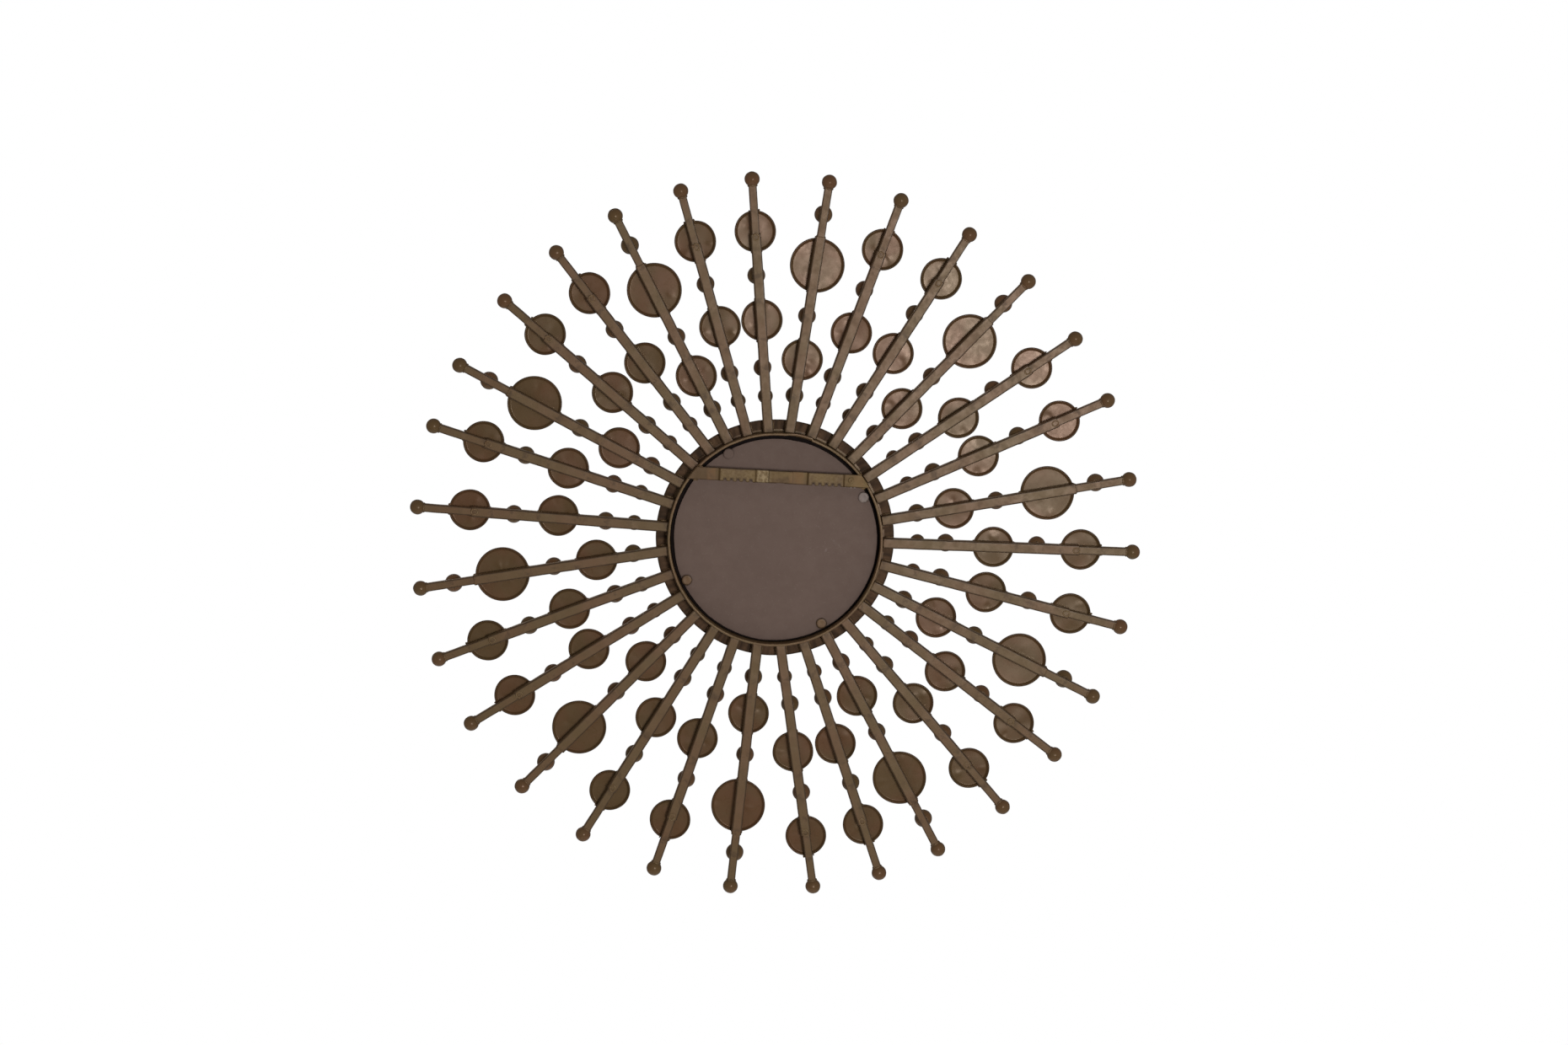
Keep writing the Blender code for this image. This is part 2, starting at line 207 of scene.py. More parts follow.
# Hanger
STRIP_HEIGHT = 0.016
STRIP_THICK = 0.002
STRIP_ROUND = 0.5 * MM
STRIP_ARC = 3
STRIP_WOBBLE = 0.06 * MM
# A strip is drawn straight to its end, then stretched from its knee on to meet the band
STRIP_KNEE = 0.090
STRIP_END = 0.108
STRIP_INSET = 0.4 * MM
# Sides longer than this are split, so that the painted shade can follow the notches
SIDE_LONGEST = 4 * MM
SIDE_PARTS = 8
FOLD_SOFT = 0.3 * MM
FOLD_STEP_MM = 0.35
RAISED_LENGTH = 0.0427
RAISED_MIDDLE = {"hanger_left": -0.0572, "hanger_right": 0.0525}
INNER_END = {"hanger_left": -0.006, "hanger_right": 0.0035}
NOTCH_COUNT = 5
NOTCH_PITCH = 0.008
NOTCH_WIDTH = 0.0044
NOTCH_DEPTH = 0.004
NOTCH_OFF_X = -0.0008
BAR_SIZE = (0.0295, 0.002, 0.015)
BAR_OFF_X = -0.0012
BAR_OFF_Z = 0.0004
BAR_ROUND = 0.6 * MM
RIVET_RADIUS = 0.0038
RIVET_HEIGHT = 0.0012
RIVET_SINK = 0.4 * MM
RIVET_SIDE = 0.3 * MM
RIVET_STEPS = 32
RIVET_MARKS = (0.2, 0.3, 0.3)
RIVET_OFF_X = -0.0885
RIVET_OFF_Z = 0.0006
# Welds at a strip's outer end: share of its place, height, half sizes, seed and marks
END_WELD_X = 0.104
END_WELD_RISE = 0.6 * MM
END_WELDS = ((1, -0.0085, (3.2 * MM, 1.0 * MM, 1.3 * MM), 90, (1.0, 0.2, 0.1)),
             (0.95, 0.0082, (3.0 * MM, 1.0 * MM, 1.2 * MM), 1, (1.0, 0.1, 0.0)))
SPATTER_XS = (-0.0935, -0.0888)
SPATTER_Z = -0.0084
SPATTER_RISE = 0.8 * MM
SPATTER_SIZE = (1.5 * MM, 0.8 * MM, 1.1 * MM)
SPATTER_SEED = 3
# Stretches of x that are heated, stained or worn; the right strip's bright tab is bare wear with a painted
# sheen
BLOTCH_SOFT = 1.5 * MM
RIGHT_BRIGHT = (0.0135, 0.028)
RIGHT_WORN = (0.030, 0.0735)
RIGHT_STAIN = (0.080, 0.090)
LEFT_HEAT = (-0.0205, -0.0135)
LEFT_STAIN = (-0.0300, -0.0140)
LEFT_END_STAIN = (-0.104, -0.092)
LEFT_WORN = (-0.078, -0.036)
BAR_STAIN = (-0.02, -0.012)
BAR_WORN = (0.011, 0.02)
# Painted shade on the hanger: across a fold, and how far in from a long edge it ends and is full
FOLD_SHADE = 0.9 * MM
EDGE_SHADE_END = 1.4 * MM
EDGE_SHADE_FULL = 0.4 * MM

# Paint
OLIVE = (0.122, 0.077, 0.034)
RED_BROWN = (0.135, 0.075, 0.037)
DISC_OLIVE = (0.112, 0.068, 0.030)
DISC_RED = (0.128, 0.064, 0.031)
# Near-black brown, for painted shade along edges, dark flecks and weld scorch
DEEP = (0.040, 0.023, 0.012)
# Dark mottle, and also the painted shade in crevices
SCORCH_AND_CREVICE_SHADE = (0.060, 0.036, 0.020)
RUSTY = (0.170, 0.100, 0.055)
ORANGE = (0.190, 0.100, 0.045)
# Bare wear, also used for painted sheen
WORN_AND_SHEEN = (0.270, 0.200, 0.110)
# The flange's rear face: very dark as painted shade in its recess behind the tubes, streaked with a paler
# brown
FLANGE_DARK = (0.034, 0.020, 0.012)
FLANGE_STREAK = (0.110, 0.062, 0.034)
STRAP_OLIVE = (0.150, 0.097, 0.038)
STRAP_BROWN = (0.100, 0.060, 0.030)
BOARD_BROWN = (0.136, 0.091, 0.073)
BOARD_PALER = (0.143, 0.096, 0.077)
BOARD_MOTTLE = (0.105, 0.072, 0.060)
BOARD_SPECK = (0.20, 0.155, 0.135)
BOARD_SCUFF = (0.21, 0.16, 0.145)
BOARD_SHADE = (0.035, 0.022, 0.018)
METAL_DARK = (0.150, 0.115, 0.100)
METAL_PALE = (0.230, 0.180, 0.155)
SILVER_DIM = (0.86, 0.88, 0.88)
SILVER_BRIGHT = (0.90, 0.92, 0.91)
# The mirror's backing, near-black so that the gap round the board shows as painted shade
BACKING_SHADE_BROWN = (0.009, 0.006, 0.005)
BACKING_SHADE_GREY = (0.013, 0.009, 0.009)
FLOOR_PALE = (0.86, 0.86, 0.85, 1)
# Heights of the paints' grain, and how far crevices are shaded
PAINT_GRAIN = 0.0006
FINE_GRAIN = 0.0004
PAINT_CREVICE = 0.005
BOARD_CREVICE = 0.012

# Camera, as fitted to the photo
PITCH_DEG = 7.36
YAW_DEG = 1.67
ROLL_DEG = 3.2
CAMERA_DISTANCE = 3.846
CAMERA_SHIFT_RIGHT = 0.0101
CAMERA_SHIFT_UP = 0.0202
LENS = 70.70
SENSOR = 36.0
FAR_CLIP = 50.0

# Lights: name, place, width, power, and whether glossy surfaces show it
LIGHTS = (("key", (-0.76, 3.6, 0.06), 0.7, 66, True),
          ("front_soft", (1.2, -3.2, 1.4), 1.6, 110, False),
          ("side_soft_left", (-3.4, 0.2, 0.8), 1.6, 16, False),
          ("side_soft_right", (3.4, 0.2, 0.8), 1.6, 16, False))
ROOM_LIGHT = 0.27
ROOM_TINT = (1.0, 0.97, 0.95, 1)

# Floor
FLOOR_Z = -1.55
FLOOR_RADIUS = 1.6
FLOOR_THICK = 0.02
FLOOR_SOFT = 5 * MM
FLOOR_STEPS = 96
FLOOR_RINGS = 4


class Shape:
    """Closed shells gathered into one mesh.

    Each point has three marks, which are weld heat, stain, and bare wear with painted sheen, and a share of
    painted edge shade.
    """

    def __init__(self):
        self.points = []
        self.faces = []
        self.marks = []
        self.soot = []
        self.face_slots = []

    def add(self, shell, marks=CLEAN, slot=0, soot=0.0):
        points, faces = shell
        start = len(self.points)
        self.points.extend(points)
        self.faces.extend([start + i for i in face] for face in faces)
        self.face_slots.extend([slot] * len(faces))
        if callable(marks):
            self.marks.extend(marks(p) for p in points)
        else:
            self.marks.extend([marks] * len(points))
        self.soot.extend(soot(p) if callable(soot) else soot for p in points)

    def move(self, matrix):
        self.points = [matrix @ p for p in self.points]


def placed(shell, matrix):
    points, faces = shell
    return [matrix @ p for p in points], faces


def waved(shell, size, pitch, seed):
    """The shell with each point moved a little by smooth noise."""
    points, faces = shell
    shift = Vector((seed * 7.31, seed * 3.17, seed * 5.03))
    moved = [p + size * noise.noise_vector(p / pitch + shift) for p in points]
    return moved, faces


def lathe(profile, steps, closed=False):
    """A profile of (radius, z) points, anticlockwise, turned about z."""
    points = []
    rows = []
    for radius, z in profile:
        if radius == 0:
            rows.append([len(points)] * steps)
            points.append(Vector((0, 0, z)))
        else:
            rows.append(range(len(points), len(points) + steps))
            points.extend(Vector((radius * cos(tau * i / steps), radius * sin(tau * i / steps), z))
                          for i in range(steps))
    pairs = list(zip(rows, rows[1:]))
    if closed:
        pairs.append((rows[-1], rows[0]))
    faces = []
    for low, high in pairs:
        for i in range(steps):
            j = (i + 1) % steps
            face = list(dict.fromkeys((low[i], low[j], high[j], high[i])))
            if len(face) > 2:
                faces.append(face)
    return points, faces


def ball(radius, rows, steps):
    profile = [(0.0, -radius)]
    for i in range(1, rows):
        angle = pi * i / rows - pi / 2
        profile.append((radius * cos(angle), radius * sin(angle)))
    profile.append((0.0, radius))
    return lathe(profile, steps)


def lump(middle, size, seed):
    """A small uneven blob of weld."""
    points, faces = ball(1.0, 7, 12)
    shift = Vector((seed * 1.7, seed * 2.9, seed * 0.7))
    grown = []
    for p in points:
        swell = 1 + 0.35 * noise.noise(p * 1.3 + shift)
        grown.append(Vector(middle) + Vector((p.x * size[0], p.y * size[1], p.z * size[2])) * swell)
    return grown, faces


def weld_ring(middle, radii, thick, seed):
    """An uneven ring of weld round z."""
    points = []
    faces = []
    for i in range(RING_WELD_STEPS):
        angle = tau * i / RING_WELD_STEPS
        out = Vector((cos(angle), sin(angle), 0))
        swell = thick * (1 + 0.4 * noise.noise(Vector((3 * out.x + seed, 3 * out.y, seed))))
        for j in range(WELD_AROUND):
            turn = tau * j / WELD_AROUND
            reach = Vector((radii[0] * out.x, radii[1] * out.y, 0)) + out * swell * cos(turn)
            points.append(Vector(middle) + reach + Vector((0, 0, swell * sin(turn))))
    for i in range(RING_WELD_STEPS):
        here = i * WELD_AROUND
        after = (i + 1) % RING_WELD_STEPS * WELD_AROUND
        for j in range(WELD_AROUND):
            k = (j + 1) % WELD_AROUND
            faces.append((here + j, after + j, after + k, here + k))
    return points, faces


def skin(rows, around):
    """The faces over rows of points, and over both ends."""
    faces = []
    for i in range(rows - 1):
        for j in range(around):
            k = (j + 1) % around
            faces.append((i * around + j, i * around + k, (i + 1) * around + k, (i + 1) * around + j))
    faces.append(tuple(range(around))[::-1])
    faces.append(tuple((rows - 1) * around + j for j in range(around)))
    return faces


def weld_line(start, end, thick, seed):
    """An uneven run of weld from one point to another."""
    start = Vector(start)
    end = Vector(end)
    along = (end - start).normalized()
    side = along.orthogonal().normalized()
    up = along.cross(side)
    points = []
    for i in range(RUN_WELD_STEPS + 1):
        share = i / RUN_WELD_STEPS
        swell = thick * (1 + 0.45 * noise.noise(Vector((share * 6, seed, 0.5))))
        swell *= sqrt(max(0.08, 1 - (2 * share - 1) ** 4))
        middle = start.lerp(end, share)
        for j in range(WELD_AROUND):
            turn = tau * j / WELD_AROUND
            points.append(middle + swell * (cos(turn) * side + sin(turn) * up))
    return points, skin(RUN_WELD_STEPS + 1, WELD_AROUND)


def rounded_outline(half_y, half_z, corner, arc):
    """A rounded rectangle round x, anticlockwise as seen from +x, with an extra point by each arc's ends."""
    outline = []
    flat_y = half_y - corner
    flat_z = half_z - corner
    for quarter, (sy, sz) in enumerate(((1, 1), (-1, 1), (-1, -1), (1, -1))):
        by_z = (sy * half_y, sz * (flat_z - SUPPORT))
        by_y = (sy * (flat_y - SUPPORT), sz * half_z)
        near = (flat_z, by_z) if quarter % 2 == 0 else (flat_y, by_y)
        far = (flat_y, by_y) if quarter % 2 == 0 else (flat_z, by_z)
        if near[0] > 2 * SUPPORT:
            outline.append(near[1])
        for i in range(arc):
            angle = tau / 4 * (quarter + i / (arc - 1))
            outline.append((sy * flat_y + corner * cos(angle), sz * flat_z + corner * sin(angle)))
        if far[0] > 2 * SUPPORT:
            outline.append(far[1])
    return outline


def divided(outline, longest, parts):
    """The outline with each side that is longer than some length split into equal parts."""
    points = []
    for (y, z), (next_y, next_z) in zip(outline, outline[1:] + outline[:1]):
        across = next_y - y
        up = next_z - z
        points.append((y, z))
        if abs(across) + abs(up) > longest:
            points.extend((y + across * i / parts, z + up * i / parts) for i in range(1, parts))
    return points


def bar(half_y, half_z, corner, start, end, spacing):
    """A straight bar along x with rounded edges and ends."""
    soft = corner * 0.6
    stations = [(start, soft), (start + soft * 0.3, soft * 0.3), (start + soft, 0.0)]
    count = max(1, round((end - start - 2 * soft) / spacing))
    for i in range(1, count):
        stations.append((start + soft + (end - start - 2 * soft) * i / count, 0.0))
    stations += [(end - soft, 0.0), (end - soft * 0.3, soft * 0.3), (end, soft)]
    points = []
    for x, inset in stations:
        outline = rounded_outline(half_y - inset, half_z - inset, corner - inset * 0.8, BAR_ARC)
        points.extend(Vector((x, y, z)) for y, z in outline)
    return points, skin(len(stations), len(outline))


def dish(radius):
    """A flat disc with a turned and rolled rim, hollow towards -z, its rim resting on z = 0."""
    roll_low = ROLL_RADIUS - ROLL_RADIUS * sin(radians(ROLL_OPEN_DEG))
    inner = radius - ROLL_RADIUS - ROLL_RADIUS * cos(radians(ROLL_OPEN_DEG))
    floor = inner - DISH_TURN
    back = [(floor * i / 7, DISH_DEPTH) for i in range(8)]
    for i in range(1, 7):
        share = i / 6
        back.append((floor + DISH_TURN * share, DISH_DEPTH - (DISH_DEPTH - roll_low) * share ** 2.2))
    roll = []
    roll_start = 180 + ROLL_OPEN_DEG
    for i in range(1, 10):
        angle = radians(roll_start + (ROLL_END_DEG - roll_start) * i / 9)
        roll.append((radius - ROLL_RADIUS + ROLL_RADIUS * cos(angle),
                     ROLL_RADIUS + ROLL_RADIUS * sin(angle)))
    front = [(floor * i / 7, DISH_DEPTH + DISH_SHEET) for i in range(8)]
    front.append((floor + DISH_TURN * 0.6, DISH_DEPTH + DISH_SHEET * 0.75))
    front.append((floor + DISH_TURN, DISH_DEPTH))
    return lathe(back + roll + front[::-1], DISH_STEPS)


def make_object(name, shape, materials):
    mesh = bpy.data.meshes.new(name)
    mesh.from_pydata(shape.points, [], shape.faces)
    marks = mesh.attributes.new("marks", "FLOAT_VECTOR", "POINT")
    marks.data.foreach_set("vector", [value for mark in shape.marks for value in mark])
    # Painted shade along edges and in folds, stored on each point
    mesh.attributes.new("soot", "FLOAT", "POINT").data.foreach_set("value", shape.soot)
    for mat in materials:
        mesh.materials.append(mat)
    mesh.polygons.foreach_set("material_index", shape.face_slots)
    mesh.shade_smooth()
    mesh.validate()
    obj = bpy.data.objects.new(name, mesh)
    bpy.context.scene.collection.objects.link(obj)
    even = obj.modifiers.new("even_shading", "WEIGHTED_NORMAL")
    even.keep_sharp = True
    return obj


def add_piece(name, shape, materials, node):
    """A piece that takes the place of a CAD node, or of none."""
    piece = make_object(name, shape, materials)
    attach(piece, "root")
    if node:
        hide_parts(node)


def wave(angle_deg, lean, waves):
    """How far a ray strays from its even place, in degrees."""
    return lean + sum(size * cos(radians(n * angle_deg - peak)) for n, size, peak in waves)


def ray_matrix(number):
    """Local +X along the ray, +Y anticlockwise as seen from the front and +Z to the front."""
    even = FIRST_RAY_DEG + 360.0 / RAY_COUNT * (number - 1)
    base_angle = radians(even + wave(even, BASE_LEAN_DEG, BASE_WAVES))
    tip_angle = radians(even + wave(even, TIP_LEAN_DEG, TIP_WAVES) + TIP_STRAY.get(number, 0.0))
    base = Vector((cos(base_angle), 0, sin(base_angle))) * RAY_START
    end = Vector((cos(tip_angle), 0, sin(tip_angle))) * (RAY_START + TIP)
    along = (end - base).normalized()
    side = Vector((-along.z, 0, along.x))
    front = Vector((0, -1, 0))
    turn = Matrix((along, side, front)).transposed().to_4x4()
    return Matrix.Translation(base + Vector((0, -TUBE_DEPTH, -STRAP_RISE))) @ turn


def heat_marks(places, reach):
    """Marks that are hot near some places along x."""
    def marks(p):
        heat = sum(exp(-((p.x - place) / reach) ** 2) for place in places)
        return (min(1.0, heat), 0.0, 0.0)
    return marks


def smooth_step(low, high, value):
    share = max(0.0, min(1.0, (value - low) / (high - low)))
    return share * share * (3 - 2 * share)


def corner_shade(half, corner):
    """Painted shade along the rounded edges of a square bar on the x axis, most of it on the rear ones."""
    def soot(p):
        share = smooth_step(half - corner - SUPPORT, half - corner, min(abs(p.y), abs(p.z)))
        return share * (1.0 if p.z < 0 else 0.25)
    return soot


def rim_shade(middle, radius, wide):
    """Painted shade round a disc's rim."""
    middle = Vector(middle)
    return lambda p: smooth_step(radius - wide * 1.7, radius - wide, (p.to_2d() - middle).length)


def ball_outline_shade(middle, radius):
    """Painted shade on the band between a ball's front and rear halves, its outline as seen from the rear.
    """
    middle = Vector(middle)
    return lambda p: 0.6 * smooth_step(0.86 * radius, radius, (p.to_2d() - middle).length)


def dented(shell, radius, dice):
    """A dished shell with a few shallow dents."""
    points, faces = shell
    for _ in range(DENT_COUNT):
        angle = dice.uniform(0, tau)
        out = radius * dice.uniform(*DENT_OUT)
        middle = Vector((out * cos(angle), out * sin(angle)))
        wide = dice.uniform(*DENT_WIDE_MM) * MM
        deep = dice.uniform(*DENT_DEEP_MM) * MM
        points = [p + Vector((0, 0, deep * exp(-((p.to_2d() - middle).length / wide) ** 2)))
                  for p in points]
    return points, faces


def add_bars(shape, number, glow):
    """The square tube, the thinner rod, and the tip ball with the weld round its neck."""
    tube = bar(TUBE_HALF, TUBE_HALF, TUBE_ROUND, TUBE_START, TUBE_END, BAR_SPACING)
    # Painted shade along the bars' rear edges
    shape.add(waved(tube, *TUBE_WOBBLE, number), glow, soot=corner_shade(TUBE_HALF, TUBE_ROUND))
    rod = bar(ROD_HALF, ROD_HALF, ROD_ROUND, TUBE_END - ROD_SEAT, ROD_END, BAR_SPACING)
    shape.add(waved(rod, *ROD_WOBBLE, number + ROD_SEED), glow, soot=corner_shade(ROD_HALF, ROD_ROUND))
    tip = placed(ball(TIP_BALL_RADIUS, BALL_ROWS, TIP_STEPS), Matrix.Translation((TIP, 0, 0)))
    # Painted shade round the tip ball's outline
    shape.add(waved(tip, *TIP_WOBBLE, number), slot=1, soot=ball_outline_shade((TIP, 0), TIP_BALL_RADIUS))
    neck = weld_ring((0, 0, 0), (ROD_HALF, ROD_HALF), NECK_WELD, number)
    where = Matrix.Translation((NECK_PLACE, 0, 0)) @ Matrix.Rotation(tau / 4, 4, "Y")
    shape.add(placed(neck, where), NECK_MARKS)


def add_disc(shape, kind, middle, seed, dice, dents):
    """A dished disc on a bar's front face, with spots of weld where its rim crosses the bar."""
    x, y, face = middle
    radius = RADIUS[kind]
    tilt = Matrix.Rotation(radians(dice.uniform(-DISC_TILT_DEG, DISC_TILT_DEG)), 4, "X")
    spin = Matrix.Rotation(dice.uniform(0, tau), 4, "Z")
    where = Matrix.Translation((x, y, face - DISC_SINK)) @ tilt @ spin
    hammered = dented(waved(dish(radius), *HAMMERED[kind], seed), radius, dents)
    shape.add(placed(hammered, where), slot=1, soot=rim_shade((x, y), radius, RIM_SHADE_WIDE))
    for end in (-1, 1):
        for edge in (-1, 1):
            spot = (x + end * (radius - dice.uniform(*SPOT_INSET_MM) * MM), edge * (face - DISC_SINK),
                    face - dice.uniform(*SPOT_DROP_MM) * MM)
            size = (dice.uniform(*SPOT_LENGTH_MM) * MM, dice.uniform(*SPOT_WIDTH_MM) * MM, SPOT_HEIGHT)
            shape.add(lump(spot, size, seed + end + edge), HOT)


def add_bead(shape, kind, middle, seed):
    """A ball sunk a little into a bar's front face, with a ring of weld round its foot."""
    x, y, face = middle
    radius = RADIUS[kind]
    bead = placed(ball(radius, BALL_ROWS, BEAD_STEPS), Matrix.Translation((x, y, face - BEAD_SINK + radius)))
    # Painted shade round the bead's outline
    shape.add(waved(bead, *BEAD_WOBBLE, seed), slot=1, soot=ball_outline_shade((x, y), radius))
    foot = BEAD_FOOT * radius
    shape.add(weld_ring((x, y, face + BEAD_WELD_RISE), (foot, foot), BEAD_WELD, seed), HOT)


def add_tube_welds(shape, number, dice):
    """Runs of weld along the tube's inner end, and lumps where the rod leaves its outer end."""
    for edge in (-1, 1):
        seat = (edge * (TUBE_HALF + RUN_OUT), TUBE_HALF - RUN_DROP)
        run_end = dice.uniform(*RUN_END_MM) * MM
        shape.add(weld_line((RUN_START, *seat), (run_end, *seat), RUN_WELD, number + edge * 0.3), RUN_MARKS)
        shape.add(lump((STEP_PLACE, edge * ROD_HALF, 0.0), STEP_WELD, number + edge), HOT)


def add_ray(number, paint, glossy):
    shape = Shape()
    dice = Random(number)
    dents = Random(number + RAY_COUNT)
    pattern = PATTERN_A if number % 3 == 1 else PATTERN_B
    hot = []
    for kind, reach, _ in pattern:
        if "disc" in kind:
            hot += [reach - RADIUS[kind], reach + RADIUS[kind]]
        else:
            hot.append(reach)
    add_bars(shape, number, heat_marks(hot + [0.0, TUBE_END], HEAT_REACH))
    for place, (kind, reach, side) in enumerate(pattern):
        face = TUBE_HALF if reach - RADIUS[kind] < TUBE_END else ROD_HALF
        middle = (reach, side + dice.uniform(-SIDE_SCATTER, SIDE_SCATTER), face)
        seed = number * 10 + place
        if "disc" in kind:
            add_disc(shape, kind, middle, seed, dice, dents)
        else:
            add_bead(shape, kind, middle, seed)
    add_tube_welds(shape, number, dice)
    if pattern is PATTERN_B:
        shape.add(weld_ring(PLUG_PLACE, PLUG_RADII, PLUG_WELD, number), PLUG_MARKS)
    shape.move(ray_matrix(number))
    add_piece(f"ray_{number:02d}_detail", shape, [paint, glossy], f"ray_{number:02d}")


def hub_place():
    """Turns local +Z to the front, about the hub's centre."""
    return Matrix.Translation((HUB_OFF_X, 0, -STRAP_RISE)) @ Matrix.Rotation(tau / 4, 4, "X")


def ring_profile():
    """The band, its flange and its lip, with soft corners, as (radius, depth)."""
    corners = ((FLANGE_RADIUS, FRONT_DEPTH), (LIP_RADIUS, FRONT_DEPTH), (LIP_RADIUS, SEAT_DEPTH),
               (BAND_INNER, SEAT_DEPTH), (BAND_INNER, RIM_DEPTH), (BAND_RADIUS, RIM_DEPTH),
               (BAND_RADIUS, SEAT_DEPTH), (FLANGE_RADIUS, SEAT_DEPTH))
    profile = []
    count = len(corners)
    for i, corner in enumerate(corners):
        here = Vector(corner)
        before = (Vector(corners[i - 1]) - here).normalized()
        after = (Vector(corners[(i + 1) % count]) - here).normalized()
        for share in (0.0, 0.33, 0.67, 1.0):
            start = here + before * RIM_ROUND
            end = here + after * RIM_ROUND
            middle = here.lerp((start + end) / 2, 0.3)
            point = start.lerp(middle, share).lerp(middle.lerp(end, share), share)
            profile.append(tuple(point))
        side = Vector(corners[(i + 1) % count]) - here
        parts = int(side.length / (3 * MM))
        for part in range(1, parts):
            profile.append(tuple(here + side * part / parts))
    return profile


def strayed(p):
    """A point of the true ring moved as the real one strays, its rear rim bulging out by the seam."""
    radius = sqrt(p.x ** 2 + p.y ** 2)
    turn = Vector((p.x, p.y, 0)) / radius
    # Local +Y is world +Z, so this is the world angle from +X towards +Z
    angle = turn.to_2d().angle_signed(Vector((1, 0)))
    degrees = angle * 360 / tau % 360
    grow = RING_WOBBLE * noise.noise(turn * 9 + Vector((0, 0, p.z * 20)))
    behind = TUBE_DEPTH - TUBE_HALF - p.z
    if radius < BAND_RADIUS + MM and behind > 0 and BULGE_START_DEG < degrees < SEAM_DEG:
        share = (degrees - BULGE_START_DEG) / (SEAM_DEG - BULGE_START_DEG)
        grow += BULGE * min(1.0, behind / BULGE_REACH) * sin(pi / 2 * min(1.0, 1.6 * share))
    lift = RING_WARP * noise.noise(turn * 5 + Vector((7, 3, 0)))
    return Vector((turn.x * (radius + grow), turn.y * (radius + grow), p.z + lift))


def ring_marks(p):
    """Even on the band, and streaked outwards over the flange."""
    flat = Vector((p.x, p.y))
    radius = flat.length
    if radius < BAND_RADIUS + 0.5 * MM:
        return (0.15, 0.0, 0.12)
    turn = flat / radius
    streak = 0.5 + 0.9 * noise.noise(Vector((turn.x * 34, turn.y * 34, radius * 60)))
    stain = 0.4 * noise.noise(Vector((turn.x * 21, turn.y * 21, 5)))
    return (max(0.0, min(1.0, streak)), max(0.0, stain), 0.0)


def add_ring(paint, shaded_flange):
    """The band in plain paint, and its flange's rear face and rim in dark streaked paint, darkened as
    painted shade in the recess behind the tubes.
    """
    points, faces = lathe(ring_profile(), RING_STEPS, closed=True)
    points = [strayed(p) for p in points]
    shape = Shape()
    # Painted shade round the flange's outer rim
    shape.add((points, faces), ring_marks, soot=rim_shade((0, 0), FLANGE_RADIUS, RIM_SHADE_WIDE))
    edge = BAND_RADIUS + MM
    rear = SEAT_DEPTH + MM
    for index, face in enumerate(faces):
        if all(points[i].to_2d().length > edge and points[i].z < rear for i in face):
            shape.face_slots[index] = 1
    shape.move(hub_place())
    add_piece("ring_detail", shape, [paint, shaded_flange], "ring_frame")


def round_plate(radius, low, high, soft, steps, rings):
    """A flat disc with softened edges."""
    profile = [(radius * i / rings, low) for i in range(rings)]
    profile += [(radius - soft, low), (radius - soft * 0.3, low + soft * 0.3), (radius, low + soft)]
    profile += [(radius, high - soft), (radius - soft * 0.3, high - soft * 0.3), (radius - soft, high)]
    profile += [(radius * i / rings, high) for i in reversed(range(rings))]
    return lathe(profile, steps)


def add_board(board):
    """The board, with a ragged edge and a slight warp."""
    low = PLATE_DEPTH - PLATE_THICK
    points, faces = round_plate(PLATE_RADIUS, low, PLATE_DEPTH, PLATE_SOFT, ROUND_STEPS, PLATE_RINGS)
    moved = []
    for p in points:
        flat = Vector((p.x, p.y, 0))
        share = flat.length / PLATE_RADIUS
        turn = flat.normalized()
        edge = PLATE_RAGGED * noise.noise(turn * 4 + Vector((2, 0, 0)))
        edge += PLATE_NICKED * noise.noise(turn * 30)
        warp = PLATE_WARP * noise.noise(flat * 22) * (1 - share ** 4)
        moved.append(p + turn * edge * share ** 6 + Vector((0, 0, warp)))
    shape = Shape()
    shape.add((moved, faces))
    shape.move(Matrix.Translation((PLATE_OFF_X, 0, PLATE_OFF_Z)) @ hub_place())
    add_piece("back_board_detail", shape, [board], "back_plate")


def add_glass(glass, backing):
    """The mirror: a bevelled front, and near-black backing paint on its rear face and edge, dark as painted
    shade in the gap round the board.
    """
    low = GLASS_DEPTH - GLASS_THICK
    inner = GLASS_RADIUS - GLASS_BEVEL
    face = GLASS_DEPTH - GLASS_DROP
    rear = lathe([(0.0, low), (inner, low), (GLASS_RADIUS, low + GLASS_BEVEL),
                  (GLASS_RADIUS, GLASS_DEPTH - GLASS_BEVEL), (inner, face)], ROUND_STEPS)
    front = lathe([(inner, face), (0.0, face)], ROUND_STEPS)
    shape = Shape()
    shape.add(rear, slot=1)
    shape.add(front)
    shape.move(hub_place())
    add_piece("mirror_glass_detail", shape, [glass, backing], "mirror_glass")


def add_buttons(paint, bare, board):
    """The round buttons by the band: one bare, one painted as the board is, the others as the frame is."""
    low = BUTTON_DEPTH - BUTTON_THICK
    profile = [(radius, low + rise) for radius, rise in BUTTON_REAR]
    profile += [(BUTTON_RADIUS, BUTTON_DEPTH), (0.0, BUTTON_DEPTH)]
    finishes = {BARE_BUTTON: (bare, "bare_button"), FAINT_BUTTON: (board, "brown_steel")}
    for number, degrees in enumerate(BUTTON_ANGLES, start=1):
        angle = radians(degrees)
        where = Matrix.Translation((BUTTON_PLACE * cos(angle), BUTTON_PLACE * sin(angle), 0))
        button = waved(placed(lathe(profile, BUTTON_STEPS), where), *BUTTON_WOBBLE, number)
        shape = Shape()
        middle = where.translation.to_2d()
        shape.add(button, BUTTON_MARKS, soot=rim_shade(middle, BUTTON_RADIUS, BUTTON_SHADE))
        shape.move(hub_place())
        mat, slot = finishes.get(number, (paint, "brown_steel"))
        add_piece(f"plate_button_{number}_detail", shape, [mat], f"plate_button_{number}")


